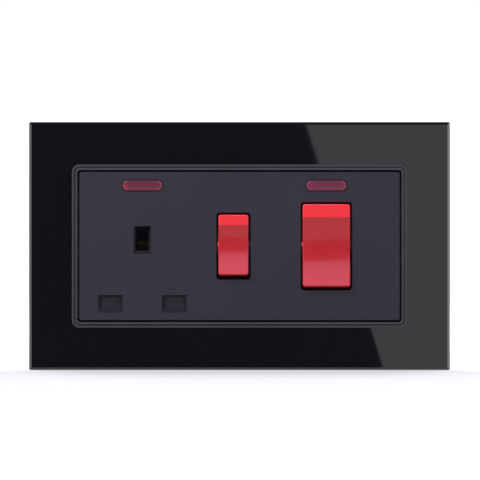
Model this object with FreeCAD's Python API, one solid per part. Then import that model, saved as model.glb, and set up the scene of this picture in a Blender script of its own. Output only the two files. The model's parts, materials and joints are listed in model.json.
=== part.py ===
import FreeCAD, Part
import math
import os

# Cooker control unit for a wall: a switched three-pin socket and a double-pole cooker switch in one glass plate.
# Millimetres. X to the right, Y into the wall, Z up. The wall is the plane y = 0, the plate centred on x = z = 0.

Vector = FreeCAD.Vector

# Clearances
slip = 0.15              # between mouldings that slide or drop into each other
running = 0.05           # radial, trunnion in its bearing
seat_gap = 0.1           # faces that nearly meet on pieces that move apart
cover_gap = 0.65         # shadow gap between the insert and the rim round it
root = 0.4               # how far an added feature runs into the body that it grows from

# Glass surround
glass_width = 146.0
glass_height = 86.0
glass_thick = 4.0
glass_bevel = 0.9
glass_corner = 0.6
glass_standoff = 6.0     # back of the glass from the wall

# Moulded carrier under the glass
carrier_inset = 0.8
carrier_wall = 1.6
deck_thick = 1.6
rim_wall = 1.9
rim_corner = 2.5
rim_groove = 0.55
rim_groove_deep = 0.5
stiffener = 1.2
stiffener_places = (-40.0, 0.0, 40.0)
clip_inset = 23.0        # middle of a clip from the side of the glass
clip_width = 5.0
clip_leg = 1.6
clip_nose = 0.8
clip_reach = 1.7

# Front plate of the insert
insert_width = 111.1
insert_height = 51.45
insert_corner = 0.8
insert_proud = 0.5
insert_wall = 2.5
insert_skirt = 1.6
insert_step = 5.0        # flange that closes the gap, behind the insert's face

# Steel mounting plate and its fixing holes
steel_gap = 2.0          # inside the carrier's skirt
steel_thick = 1.2
steel_corner = 4.0
fixing_inset = 12.7      # screw centres from the sides of the glass
fixing_slot = 6.0
fixing_hole = 4.0
earth_tab_x = -25.0
earth_tab_width = 6.0
earth_tab_reach = 17.0
rivet_y = 12.0
rivet_radius = 1.2
rivet_head_radius = 2.1
rivet_head = 0.9

# Rear housing
cavity_inset = (5.15, 1.825)         # sides of the cavity from the sides of the insert
cavity_corner = 3.0
cavity_depth = 20.0      # from the wall plane to the inner face of the floor
housing_wall = 1.8
floor_thick = 2.0
flange_lip = 3.0
flange_thick = 2.0
post_radius = 2.8
post_inset = (3.4, 3.2)              # end posts from the sides of the cavity
post_between_x = (12.0, -13.4)       # the upper and the lower post between the ends
pad = 4.0                # height of the pads that the bars rest on
screw_radius = 1.45
screw_head_radius = 2.6
screw_head = 1.8
screw_start = 2.5        # point of the screw behind the back of the front plate's face
barrier = 1.2
barrier_start = (6.0, 9.0)           # front edges of the barrier, low and between the feed terminals

# Pins of the plug that goes in, and the openings for them
pin_row_x = -33.7
pin_half_pitch = 11.1
earth_pin_z = 2.6
pin_drop = 22.2          # power pins below the earth pin
power_pin = (6.35, 4.0)
earth_pin = (4.0, 8.0)
throat_gap = 0.1
power_margin = (1.075, 0.5, 1.2)     # the opening's widening at its sides, top and bottom
earth_margin = (0.9, 0.2, 1.15)
power_bulge = 0.35
earth_bulge = 0.1
mouth_land = 0.7         # straight part of the opening at the back

# Shutter behind the pin openings, lifted by the earth pin
shutter_lift = 5.0
shutter_thick = 1.7
shutter_cover_lap = 0.35
shutter_bar = 3.5
shutter_leg = 2.2
ramp_back = 5.4
ramp_top = 2.5
ramp_room = 0.6          # between the ramp and the earth contact
ramp_wall = 0.4          # above the earth pin in front of the ramp
ramp_nose = 0.7
blade_side = 0.5         # blades beyond their lap over the opening
guide_play = 0.6         # between the blades and their guides
guide_wall = 1.05
guide_top_z = -9.0
shutter_cover = 1.2
cover_play = 0.4         # from the walls of the cavity
cover_right_x = -17.0
cover_neck = 8.0         # half the width of the cover's narrow upper part
cover_neck_z = -3.0
cover_head_radius = 2.0
cover_head = 1.2
shutter_spring_radius = 1.35
shutter_spring_wire = 0.22
shutter_spring_turns = 5
coil_steps = 12          # straights in one turn of a spring
shutter_spring_length = 7.8
spring_seat = 1.2
cover_screw_radius = 1.1
cover_screw_x = (-47.6, -20.0)

# Pin contacts and links, all sheet brass or copper
leaf = 0.8
leaf_play = 0.15
leaf_flare = 0.5
bar_thick = 1.4
link_thick = 1.2
strip_width = 6.0
link_width = 3.0
link_drop = 3.2          # middle of the neutral link below the terminals
link_foot = 3.6          # end of the neutral link's drop below the contact tails' top
line_run = (0.3, 4.1)    # edges of the line link above the terminals' inner ends
earth_run = (-1.2, 3.2)  # edges of the earth strip from the terminals' inner ends
tail_rise = 7.4          # top of the power contacts' tails above the pins
tail_width = 3.3
tip_land = 2.2           # bar beyond the middle of a fixed contact tip
ridge_land = 2.0         # bar beyond the middle of a ridge
bar_gap = 3.4            # bars behind the pivots of the moving contacts
earth_step = 1.0         # earth contact's base behind the power contacts
wing_width = 3.0

# Switches
rocker_wall = 1.5
trunnion_radius = 1.2
trunnion_length = 2.6
bearing_wall = 1.8
bearing_gap = 0.27       # between a rocker's side and its bearings
bearing_end = 1.6        # bearing behind its trunnion
retainer_thick = 1.0
retainer_play = 0.4      # from the walls of the cavity
retainer_left_x = -16.6
tube_play = 0.9          # slots of the retainer round the tubes, which swing up and down in them
finger_gap = 0.2         # between the retainer's fingers and the trunnions
lead_notch = (1.6, 12.5)             # width of the notches for the leads and where they start
rocker_travel = 10.0     # degrees, off to on
tube_radius = 2.6
plunger_radius = 1.75
plunger_tip = 1.0
plunger_reach = 14.0     # tip from the rocker's pivot
plunger_start = 4.0
tube_reach = 8.5
tube_start = -4.6
spring_start = -3.0
plunger_spring_wire = 0.25
plunger_spring_turns = 6
see_saw_ratio = 1.6      # turn of the moving contact for each degree of rocker
hump_radius = 1.1
contact_thick = 1.0
contact_arm = 11.0
contact_tail = 9.0
tip_radius = 1.8
tip_high = 0.8

socket_switch = {"x": -2.1, "width": 10.4, "side_gap": 0.75, "opening": 23.25, "pivot": 4.0,
                 "top": 10.8, "top_proud": 0.1, "crest": 7.3, "crest_proud": 1.6,
                 "lip": -9.95, "lip_proud": 2.6, "base": -10.45, "sag": 0.75}
cooker_switch = {"x": 30.1, "width": 16.4, "side_gap": 0.7, "opening": 30.7, "pivot": 4.5,
                 "top": 14.45, "top_proud": 0.1, "crest": 9.95, "crest_proud": 2.0,
                 "lip": -13.9, "lip_proud": 2.8, "base": -14.6, "sag": 1.05}
opening_corner = 1.2
rocker_corner = 0.8
rocker_edge = 0.35
pole_offset = 5.0        # plungers either side of the cooker rocker's middle

# Terminals
block_width = 9.2
block_deep = 9.5
block_high = 7.1
bore_radius = 3.2
bore_front = 1.5         # brass in front of the bore
block_inner_z = 13.2
terminal_offset = 6.6
earth_terminal_x = -15.0
clamp_screw_radius = 2.0
clamp_head_radius = 2.9
clamp_head = 2.0
clamp_length = 5.5
well_radius = 4.6
well_high = 4.0
entry_radius = 4.2

# Neon indicators
neon_size = (14.5, 4.0)
neon_z = 21.0
socket_neon_x = -33.7
cooker_neon_x = 30.1
neon_flange = 0.8
lamp_radius = 1.9
lamp_length = 10.0
lamp_depth = 5.7         # lamp's axis behind the insert's face
cradle = 1.0
resistor_radius = 1.15
resistor_length = 5.0
lead_radius = 0.3
lead_foot = 1.5          # straight end of a lead where it meets a link or a bar
lead_gap = 1.2           # between a lamp and its resistor
socket_lead_x = (-42.4, -17.6)
cooker_lead_x = (42.3, 17.2)
lead_rise = 1.7          # where the socket's lead meets its bar, above the bar's lower edge
cooker_lead_z = -9.0

# Faces that follow from the sizes above
power_pin_z = earth_pin_z - pin_drop
skirt_in = carrier_inset + carrier_wall
carrier_inner = (glass_width - 2 * skirt_in, glass_height - 2 * skirt_in)
steel_size = (carrier_inner[0] - 2 * steel_gap, carrier_inner[1] - 2 * steel_gap)
fixing_spacing = glass_width - 2 * fixing_inset
cavity_half_x = insert_width / 2 - cavity_inset[0]
cavity_half_z = insert_height / 2 - cavity_inset[1]
post_x = cavity_half_x - post_inset[0]
post_z = cavity_half_z - post_inset[1]
post_places = ((-post_x, post_z), (post_between_x[0], post_z), (post_x, post_z), (post_between_x[1], -post_z),
               (post_x, -post_z))
glass_back_y = -glass_standoff
glass_front_y = glass_back_y - glass_thick
face_y = glass_front_y - insert_proud
insert_back_y = face_y + insert_wall
steel_front_y = -steel_thick
floor_y = cavity_depth
housing_back_y = floor_y + floor_thick
rim_inner = (insert_width + 2 * cover_gap, insert_height + 2 * cover_gap)
rim_outer = (rim_inner[0] + 2 * rim_wall, rim_inner[1] + 2 * rim_wall)
clip_x = glass_width / 2 - clip_inset
clip_z = (rim_outer[1] + carrier_inner[1]) / 4
off_angle = -rocker_travel / 2
see_saw_angle = see_saw_ratio * rocker_travel / 2
block_front_y = floor_y - block_deep
bore_y = block_front_y + bore_front + bore_radius
block_middle_z = block_inner_z + block_high / 2
tail_top_z = power_pin_z + tail_rise
link_z = block_inner_z - link_drop
shutter_front_y = insert_back_y + slip
shutter_back_y = shutter_front_y + shutter_thick
cover_front_y = shutter_back_y + slip
cover_back_y = cover_front_y + shutter_cover
ramp_high_z = earth_pin_z + earth_pin[1] / 2 + ramp_top
seat_z = ramp_high_z + shutter_spring_length
blade_half = power_pin[0] / 2 + throat_gap + 2 * shutter_cover_lap + blade_side
boss_y = -seat_gap - 0.5
retainer_back_y = boss_y + seat_gap / 2
retainer_front_y = retainer_back_y - retainer_thick
retainer_places = post_places[1:]
lamp_y = face_y + lamp_depth
ridge_radius = hump_radius - seat_gap
throat_high = power_pin[1] + 2 * throat_gap
shutter_top_z = power_pin_z + throat_high / 2 + shutter_cover_lap + shutter_bar
cover_screw_z = shutter_top_z + shutter_lift + 2 * cover_screw_radius + 2 * slip
cover_screw_places = tuple((x, cover_screw_z) for x in cover_screw_x)


def box(x0, x1, y0, y1, z0, z1):
    return Part.makeBox(x1 - x0, y1 - y0, z1 - z0, Vector(x0, y0, z0))


def centred(x, z, width, height, y0, y1):
    return box(x - width / 2, x + width / 2, y0, y1, z - height / 2, z + height / 2)


def rod_x(y, z, radius, x0, x1):
    return Part.makeCylinder(radius, x1 - x0, Vector(x0, y, z), Vector(1, 0, 0))


def rod_y(x, z, radius, y0, y1):
    return Part.makeCylinder(radius, y1 - y0, Vector(x, y0, z), Vector(0, 1, 0))


def rod_z(x, y, radius, z0, z1):
    return Part.makeCylinder(radius, z1 - z0, Vector(x, y, z0), Vector(0, 0, 1))


def rounded(x, z, width, height, corner, y0, y1):
    """A flat block with rounded corners, seen from the front."""
    block = centred(x, z, width, height, y0, y1)
    upright = [e for e in block.Edges if abs(e.tangentAt(e.FirstParameter).y) > 0.9]
    return block.makeFillet(corner, upright)


def side_cut(edges, x0, x1):
    """A side view drawn at x0 and pushed along X to x1."""
    face = Part.Face(Part.Wire(edges))
    return face.extrude(Vector(x1 - x0, 0, 0))


def polygon(x, points):
    corners = [Vector(x, y, z) for y, z in points]
    return [Part.LineSegment(a, b).toShape() for a, b in zip(corners, corners[1:] + corners[:1])]


def join(first, *others):
    return first.fuse(list(others)).removeSplitter()


def turned(shape, switch, angle):
    """A switch piece turned about its rocker's pivot."""
    shape.rotate(Vector(switch["x"], face_y + switch["pivot"], 0), Vector(1, 0, 0), angle)
    return shape


def spring(radius, wire, turns, length):
    """A compression spring along Z from the origin, its wire six-sided and its coil of short straights."""
    pitch = (length - 2 * wire) / turns
    slope = math.atan2(pitch, 2 * math.pi * radius)
    rings = []
    for step in range(turns * coil_steps + 1):
        turn = 2 * math.pi * step / coil_steps
        outward = Vector(math.cos(turn), math.sin(turn), 0)
        along = Vector(-math.sin(turn) * math.cos(slope), math.cos(turn) * math.cos(slope), math.sin(slope))
        upward = outward.cross(along)
        middle = outward * radius + Vector(0, 0, wire + pitch * step / coil_steps)
        corners = [middle + outward * wire * math.cos(math.pi * k / 3) + upward * wire * math.sin(math.pi * k / 3)
                   for k in range(6)]
        rings.append(Part.makePolygon(corners + corners[:1]))
    return Part.makeLoft(rings, True, True)


def glass_frame():
    front_edge = glass_front_y + glass_bevel
    slab = rounded(0, 0, glass_width, glass_height, glass_corner, glass_front_y, glass_back_y)
    blank = centred(0, 0, glass_width, glass_height, glass_front_y, glass_back_y)
    front = [e for e in blank.Edges if max(v.Y for v in e.Vertexes) < front_edge]
    slab = slab.common(blank.makeChamfer(glass_bevel, front))
    opening = rounded(0, 0, rim_outer[0] + 2 * seat_gap, rim_outer[1] + 2 * seat_gap, rim_corner + seat_gap,
                      glass_front_y - 1, glass_back_y + 1)
    return slab.cut(opening)


def clip_leg_at(side_x, side_z):
    """A snap leg that reaches through its window in the steel plate."""
    inner = clip_z - clip_leg / 2
    outer = clip_z + clip_leg / 2
    deck_y = glass_back_y + deck_thick
    tip_y = clip_reach
    profile = [(deck_y - root, inner), (tip_y, inner), (tip_y, outer), (seat_gap + clip_nose, outer + clip_nose),
               (seat_gap, outer + clip_nose), (seat_gap, outer), (deck_y - root, outer)]
    leg = side_cut(polygon(-clip_width / 2, profile), -clip_width / 2, clip_width / 2)
    if side_z < 0:
        leg = leg.mirror(Vector(0, 0, 0), Vector(0, 0, 1))
    leg.translate(Vector(side_x * clip_x, 0, 0))
    return leg


def panel_carrier():
    skirt_width = glass_width - 2 * carrier_inset
    skirt_height = glass_height - 2 * carrier_inset
    deck_y = glass_back_y + deck_thick
    body = rounded(0, 0, skirt_width, skirt_height, carrier_wall + 0.4, glass_back_y, 0)
    body = body.cut(centred(0, 0, carrier_inner[0], carrier_inner[1], deck_y, 1))
    rim = rounded(0, 0, rim_outer[0], rim_outer[1], rim_corner, face_y, deck_y)
    body = join(body, rim)
    body = body.cut(rounded(0, 0, rim_inner[0], rim_inner[1], rim_corner - rim_wall + 0.4, face_y - 1, 1))
    groove_out = (rim_outer[0] - rim_wall + rim_groove, rim_outer[1] - rim_wall + rim_groove)
    groove_in = (rim_outer[0] - rim_wall - rim_groove, rim_outer[1] - rim_wall - rim_groove)
    groove = rounded(0, 0, groove_out[0], groove_out[1], rim_corner - 0.6, face_y - 1, face_y + rim_groove_deep)
    groove = groove.cut(rounded(0, 0, groove_in[0], groove_in[1], rim_corner - 1.2, face_y - 2, face_y + 2))
    body = body.cut(groove)
    rib_back_y = steel_front_y - seat_gap
    ribs = []
    for x in stiffener_places:
        for side in (-1, 1):
            middle = side * (rim_outer[1] + carrier_inner[1] + carrier_wall) / 4
            span = (carrier_inner[1] + carrier_wall - rim_outer[1]) / 2
            ribs.append(centred(x, middle, stiffener, span, deck_y - root, rib_back_y))
    legs = [clip_leg_at(sx, sz) for sx in (-1, 1) for sz in (-1, 1)]
    return join(body, *ribs, *legs)


def mouth(x, z, throat, margin, bulge):
    """A pin opening that narrows from the insert's face to its throat, its lower lip bowed and sloped the most."""
    side, top, bottom = margin

    def outline(y, share, bow):
        low = z - throat[1] / 2 - bottom * share
        high = z + throat[1] / 2 + top * share
        left = x - throat[0] / 2 - side * share
        right = x + throat[0] / 2 + side * share
        corners = [Vector(left, y, low), Vector(left, y, high), Vector(right, y, high), Vector(right, y, low)]
        sides = [Part.LineSegment(a, b).toShape() for a, b in zip(corners, corners[1:])]
        sides.append(Part.Arc(corners[3], Vector(x, y, low - bow), corners[0]).toShape())
        return Part.Wire(sides)

    land_y = insert_back_y - mouth_land
    taper = Part.makeLoft([outline(face_y, 1.0, bulge), outline(land_y, 0.02, bulge * 0.05)], True, True)
    hole = centred(x, z, throat[0], throat[1], face_y - 1, insert_back_y + 1)
    return taper.fuse(hole)


def power_throat():
    return (power_pin[0] + 2 * throat_gap, throat_high)


def earth_throat():
    return (earth_pin[0] + 3 * throat_gap, earth_pin[1] + 3 * throat_gap)


def opening(switch):
    """Width and height of a rocker's opening in the insert's face."""
    return switch["width"] + 2 * switch["side_gap"], switch["opening"]


def bearing_edges(switch, side):
    """The two sides of a bearing, the left one first."""
    inner = switch["x"] + side * (switch["width"] / 2 + bearing_gap)
    outer = switch["x"] + side * (opening(switch)[0] / 2 + bearing_wall)
    return min(inner, outer), max(inner, outer)


def bearing(switch, side):
    """An ear behind the insert's face with a slot that a rocker's trunnion drops into."""
    pivot_y = face_y + switch["pivot"]
    low, high = bearing_edges(switch, side)
    half = trunnion_radius + running + bearing_wall
    back_y = pivot_y + trunnion_radius + bearing_end
    ear = box(low, high, insert_back_y - root, back_y, -half, half)
    slot = rod_x(pivot_y, 0, trunnion_radius + running, low - 1, high + 1)
    way_in = box(low - 1, high + 1, pivot_y, back_y + 1, -trunnion_radius - running, trunnion_radius + running)
    return ear.cut([slot, way_in])


def neon_opening(x, grow, y0, y1):
    width, height = neon_size[0] + 2 * grow, neon_size[1] + 2 * grow
    return rounded(x, neon_z, width, height, height / 2 - 0.01, y0, y1)


def front_plate():
    body = rounded(0, 0, insert_width, insert_height, insert_corner, face_y, steel_front_y)
    front = [e for e in body.Edges if max(v.Y for v in e.Vertexes) < face_y + 0.01]
    body = body.makeFillet(0.3, front)
    body = join(body, rounded(0, 0, rim_inner[0] - 2 * slip, rim_inner[1] - 2 * slip, insert_corner,
                              face_y + insert_step, steel_front_y))
    body = body.cut(centred(0, 0, insert_width - 2 * insert_skirt, insert_height - 2 * insert_skirt,
                            insert_back_y, 1))
    body = body.cut([rounded(switch["x"], 0, *opening(switch), opening_corner, face_y - 1, insert_back_y + 0.01)
                     for switch in (socket_switch, cooker_switch)])
    adds = [bearing(switch, side) for switch in (socket_switch, cooker_switch) for side in (-1, 1)]
    adds.append(rod_y(*post_places[0], post_radius, insert_back_y - root, boss_y))
    adds += [rod_y(x, z, post_radius, insert_back_y - root, retainer_front_y - seat_gap / 2)
             for x, z in retainer_places]
    guide = pin_half_pitch + blade_half + guide_play
    for low, high in ((pin_row_x - guide - guide_wall, pin_row_x - guide),
                      (pin_row_x + guide, pin_row_x + guide + guide_wall)):
        adds.append(box(low, high, insert_back_y - root, cover_front_y, -cavity_half_z + cover_play, guide_top_z))
    adds += [rod_y(x, z, 2 * cover_screw_radius, insert_back_y - root, cover_front_y)
             for x, z in cover_screw_places]
    body = join(body, *adds)
    cuts = [mouth(pin_row_x + side * pin_half_pitch, power_pin_z, power_throat(), power_margin, power_bulge)
            for side in (-1, 1)]
    cuts.append(mouth(pin_row_x, earth_pin_z, earth_throat(), earth_margin, earth_bulge))
    cuts += [neon_opening(x, running, face_y - 1, insert_back_y + 1) for x in (socket_neon_x, cooker_neon_x)]
    cuts += [rod_y(x, z, screw_radius, insert_back_y + 0.8, 1) for x, z in post_places]
    cuts += [rod_y(x, z, cover_screw_radius, insert_back_y - 1.3, 0) for x, z in cover_screw_places]
    return body.cut(cuts)


def retainer():
    """The plate that keeps both rockers in their bearings, clamped between the posts by the housing's screws."""
    y0, y1 = retainer_front_y, retainer_back_y
    finger_half = trunnion_radius - seat_gap
    top = cavity_half_z - retainer_play
    right = cavity_half_x - retainer_play
    body = rounded((retainer_left_x + right) / 2, 0, right - retainer_left_x, 2 * top, cavity_corner, y0, y1)
    fingers = []
    cuts = [rod_y(x, z, screw_radius + slip, y0 - 1, y1 + 1) for x, z in retainer_places]
    for switch, poles in ((socket_switch, (0.0,)), (cooker_switch, (-pole_offset, pole_offset))):
        finger_y = face_y + switch["pivot"] + trunnion_radius + finger_gap
        for side in (-1, 1):
            low, high = bearing_edges(switch, side)
            fingers.append(box(low, high, finger_y, y0 + root, -finger_half, finger_half))
        cuts += [rounded(switch["x"] + pole, 0, 2 * (tube_radius + slip), 2 * (tube_radius + tube_play),
                         tube_radius, y0 - 1, y1 + 1) for pole in poles]
    width, start = lead_notch
    cuts += [box(x - width / 2, x + width / 2, y0 - 1, y1 + 1, start, top + 1) for x in cooker_lead_x]
    return join(body, *fingers).cut(cuts)


def mounting_plate():
    body = rounded(0, 0, steel_size[0], steel_size[1], steel_corner, steel_front_y, 0)
    window = (2 * (cavity_half_x + 0.2), 2 * (cavity_half_z + 0.2))
    cuts = [rounded(0, 0, window[0], window[1], cavity_corner, steel_front_y - 1, 1)]
    for side in (-1, 1):
        cuts.append(rounded(side * fixing_spacing / 2, 0, fixing_slot, fixing_hole, fixing_hole / 2 - 0.005,
                            steel_front_y - 1, 1))
        for side_z in (-1, 1):
            opening = clip_leg + clip_nose + 2 * seat_gap
            cuts.append(centred(side * clip_x, side_z * (clip_z + clip_nose / 2), clip_width + 4 * seat_gap,
                                opening, steel_front_y - 1, 1))
    body = body.cut(cuts)
    tab_top = cavity_half_z - seat_gap
    left = earth_tab_x - earth_tab_width / 2
    right = earth_tab_x + earth_tab_width / 2
    root = box(left, right, steel_front_y, 0, tab_top - steel_thick, cavity_half_z + 0.5)
    tab = box(left, right, steel_front_y, earth_tab_reach, tab_top - steel_thick, tab_top)
    body = join(body, root, tab)
    return body.cut(rod_z(earth_tab_x, rivet_y, rivet_radius, tab_top - 3, tab_top + 1))


def terminal_places():
    """Middle x and side of every clamp terminal: feed above, load below, earth above."""
    left = cooker_switch["x"] - terminal_offset
    right = cooker_switch["x"] + terminal_offset
    return ((left, 1), (right, 1), (left, -1), (right, -1), (earth_terminal_x, 1))


def rear_housing():
    outer = (2 * (cavity_half_x + housing_wall), 2 * (cavity_half_z + housing_wall))
    body = rounded(0, 0, outer[0], outer[1], cavity_corner + housing_wall, 0, housing_back_y)
    flange = rounded(0, 0, outer[0] + 2 * flange_lip, outer[1] + 2 * flange_lip, cavity_corner + housing_wall,
                     0, flange_thick)
    body = join(body, flange)
    body = body.cut(rounded(0, 0, 2 * cavity_half_x, 2 * cavity_half_z, cavity_corner, -1, floor_y))
    adds = [rod_y(x, z, post_radius, -0.5, floor_y + 0.5) for x, z in post_places]
    adds += [rod_y(x, side * block_middle_z, well_radius, housing_back_y - 0.5, housing_back_y + well_high)
             for x, side in terminal_places()]
    middle = cooker_switch["x"]
    for start, low, high in ((barrier_start[0], -cavity_half_z - 0.5, block_inner_z),
                             (barrier_start[1], block_inner_z, cavity_half_z + 0.5)):
        adds.append(box(middle - barrier / 2, middle + barrier / 2, start, floor_y + 0.5, low, high))
    for x in (middle - pole_offset, middle + pole_offset):
        adds.append(centred(x, 0, strip_width - 1, pad, bar_back_y(cooker_switch), floor_y + 0.5))
    x = socket_switch["x"]
    adds.append(centred(x, 0, strip_width - 1, pad, bar_back_y(socket_switch), floor_y + 0.5))
    run_z = block_inner_z + (line_run[0] + line_run[1]) / 2
    run_high = line_run[1] - line_run[0] - 0.2
    for place in (x, (x + middle) / 2 - pole_offset):
        adds.append(centred(place, run_z, run_high, run_high, bar_back_y(socket_switch), floor_y + 0.5))
    for side in (-1, 1):
        adds.append(centred(pin_row_x + side * pin_half_pitch, power_pin_z + 1, strip_width - 3, pad,
                            clip_back_y(), floor_y + 0.5))
    adds.append(centred(pin_row_x, earth_pin_z, pad + 0.6, pad, earth_base_y() + leaf + 0.2, floor_y + 0.5))
    body = join(body, *adds)
    cuts = [rod_y(x, z, screw_radius + slip, -1, housing_back_y + 1) for x, z in post_places]
    cuts += [rod_y(x, z, screw_head_radius + slip, housing_back_y - screw_head, housing_back_y + 1)
             for x, z in post_places]
    for x, side in terminal_places():
        cuts.append(rod_y(x, side * block_middle_z, clamp_head_radius + 2 * slip, floor_y - 0.5,
                          housing_back_y + well_high + 1))
        low, high = sorted((side * (cavity_half_z - 1), side * (cavity_half_z + housing_wall + 1)))
        cuts.append(rod_z(x, bore_y, entry_radius, low, high))
    cuts.append(centred(middle, link_z, 2 * pole_offset, link_width + 0.6, floor_y - link_thick - 0.3, floor_y))
    return body.cut(cuts)


def see_saw_y(switch):
    """Pivot of the moving contact, just behind the reach of the plunger's tip."""
    return face_y + switch["pivot"] + plunger_reach + seat_gap + hump_radius + contact_thick


def bar_front_y(switch):
    return see_saw_y(switch) + bar_gap


def bar_back_y(switch):
    return bar_front_y(switch) + bar_thick


def clip_back_y():
    """Back face of the two power pin contacts."""
    return bar_front_y(socket_switch)


def earth_base_y():
    return clip_back_y() + earth_step


def rocker_section(switch, inset):
    """Side view of a rocker at rest, off: top edge pressed in, lower lip standing out, a scoop between."""
    x = switch["x"] - switch["width"] / 2 + inset
    top = switch["top"] - inset
    crest = Vector(x, face_y - switch["crest_proud"] + inset, switch["crest"] - inset / 3)
    lip = Vector(x, face_y - switch["lip_proud"] + inset, switch["lip"] + inset)
    middle = (crest + lip) * 0.5 + Vector(0, switch["sag"], 0)
    top_front = Vector(x, face_y - switch["top_proud"] + inset, top)
    base = Vector(x, face_y, switch["base"] + inset)
    back_y = face_y + switch["pivot"]
    extra = 3.0 if inset else 0.0
    low_back = Vector(x, back_y - 1.0 + extra, switch["base"] + inset - 0.15)
    high_back = Vector(x, back_y + 1.0 + extra, top)
    edges = [Part.LineSegment(high_back, top_front).toShape(), Part.LineSegment(top_front, crest).toShape(),
             Part.Arc(crest, middle, lip).toShape(), Part.LineSegment(lip, base).toShape(),
             Part.LineSegment(base, low_back).toShape(), Part.LineSegment(low_back, high_back).toShape()]
    return edges


def rocker(switch, poles):
    """A hollow rocker with trunnions at its sides and a guide tube for each plunger."""
    half = switch["width"] / 2
    x = switch["x"]
    pivot_y = face_y + switch["pivot"]
    body = side_cut(rocker_section(switch, 0.0), x - half, x + half)
    ends = [e for e in body.Edges if abs(e.BoundBox.XLength) < 1e-6 and is_end_edge(e, switch)]
    body = body.makeFillet(rocker_corner, ends)
    lengthwise = [e for e in body.Edges if on_front(e, switch) and e.BoundBox.XLength < 1e-6]
    across = [e for e in body.Edges if is_front_across(e, switch)]
    body = body.makeFillet(rocker_edge, lengthwise + across)
    inner = side_cut(rocker_section(switch, rocker_wall), x - half + rocker_wall, x + half - rocker_wall)
    body = body.cut(inner)
    adds = [rod_x(pivot_y, 0, trunnion_radius, x - half - trunnion_length, x - half + 0.5),
            rod_x(pivot_y, 0, trunnion_radius, x + half - 0.5, x + half + trunnion_length)]
    cuts = []
    for offset in poles:
        tube = rod_y(x + offset, 0, tube_radius, pivot_y + tube_start, pivot_y + tube_reach)
        bore = rod_y(x + offset, 0, plunger_radius + seat_gap, pivot_y + spring_start, pivot_y + tube_reach + 1)
        adds.append(turned(tube, switch, off_angle))
        cuts.append(turned(bore, switch, off_angle))
    return join(body, *adds).cut(cuts)


def is_end_edge(edge, switch):
    """The four upright corners of a rocker that show at the front: at its top end and its lower end."""
    middle = edge.CenterOfMass
    at_top = abs(middle.z - switch["top"]) < 0.02
    at_base = switch["base"] - 0.2 < middle.z < switch["lip"] + 0.01 and middle.y < face_y + switch["pivot"] - 0.4
    return (at_top or at_base) and edge.BoundBox.YLength > 0.3


def on_front(edge, switch):
    """The long edges of a rocker's face, crest and scoop."""
    box_now = edge.BoundBox
    inside = switch["lip"] - 0.01 <= box_now.ZMin and box_now.ZMax <= switch["top"] + 0.01
    return inside and box_now.YMax < face_y + 0.01 and box_now.ZLength > 1.0


def is_front_across(edge, switch):
    """The edges across a rocker's lower lip and top."""
    box_now = edge.BoundBox
    wide = box_now.XLength > switch["width"] * 0.5
    flat = box_now.ZLength < 0.01 and box_now.YLength < 0.01
    at_lip = abs(box_now.ZMin - switch["lip"]) < 0.02
    at_top = abs(box_now.ZMin - switch["top"]) < 0.02 and box_now.YMin < face_y
    return wide and flat and (at_lip or at_top)


def plunger(switch, offset):
    pivot_y = face_y + switch["pivot"]
    x = switch["x"] + offset
    neck = plunger_reach - plunger_tip - 3.5
    body = rod_y(x, 0, plunger_radius, pivot_y + plunger_start, pivot_y + neck)
    taper = Part.makeCone(plunger_radius, plunger_tip, 3.5, Vector(x, pivot_y + neck, 0), Vector(0, 1, 0))
    end = Part.makeSphere(plunger_tip, Vector(x, pivot_y + plunger_reach - plunger_tip, 0))
    return turned(join(body, taper, end), switch, off_angle)


def plunger_spring(switch, offset):
    pivot_y = face_y + switch["pivot"]
    coil = spring(plunger_radius - plunger_spring_wire - seat_gap, plunger_spring_wire, plunger_spring_turns,
                  plunger_start - spring_start)
    coil.rotate(Vector(0, 0, 0), Vector(1, 0, 0), -90)
    coil.translate(Vector(switch["x"] + offset, pivot_y + spring_start, 0))
    return turned(coil, switch, off_angle)


def see_saw(switch, x):
    """A moving contact: a strip with a hump over its ridge, tilted as it lies with the switch off."""
    pivot = Vector(x, see_saw_y(switch), 0)
    half = strip_width / 2 - 0.2
    front = -hump_radius + 0.2
    strip = box(x - half, x + half, pivot.y + front, pivot.y + front + contact_thick, -contact_tail,
                contact_arm + tip_radius - 0.3)
    hump = rod_x(pivot.y, 0, hump_radius + contact_thick, x - half, x + half)
    hump = hump.common(box(x - half, x + half, pivot.y - 5, pivot.y + front + contact_thick, -5, 5))
    strip = join(strip, hump).cut(rod_x(pivot.y, 0, hump_radius, x - half - 1, x + half + 1))
    strip.rotate(pivot, Vector(1, 0, 0), see_saw_angle)
    return strip


def tip(x, y, z, toward):
    """A domed silver contact whose flat back is at y and whose dome points along Y."""
    base_high = tip_high / 2
    low, high = sorted((y, y + toward * base_high))
    base = rod_y(x, z, tip_radius, low, high)
    dome = Part.makeCone(tip_radius, tip_radius * 0.55, tip_high - base_high, Vector(x, y + toward * base_high, z),
                         Vector(0, toward, 0))
    return join(base, dome)


def moving_tip(switch, x):
    pivot = Vector(x, see_saw_y(switch), 0)
    back = pivot.y - hump_radius + 0.2 + contact_thick
    button = tip(x, back, contact_arm, 1)
    button.rotate(pivot, Vector(1, 0, 0), see_saw_angle)
    return button


def fixed_tip(switch, x):
    return tip(x, bar_front_y(switch), tip_z(), -1)


def tip_z():
    """Height at which the moving tip meets the fixed one when the switch is on."""
    return contact_arm * math.cos(math.radians(see_saw_angle))


def fulcrum(switch, x):
    """The ridge that a moving contact rocks on, standing on its bar."""
    pivot_y = see_saw_y(switch)
    half = strip_width / 2 - 0.2
    ridge = rod_x(pivot_y, 0, ridge_radius, x - half, x + half)
    post = box(x - half, x + half, pivot_y, bar_front_y(switch) + 0.2, -0.7, 0.7)
    return [ridge, post]


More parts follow.
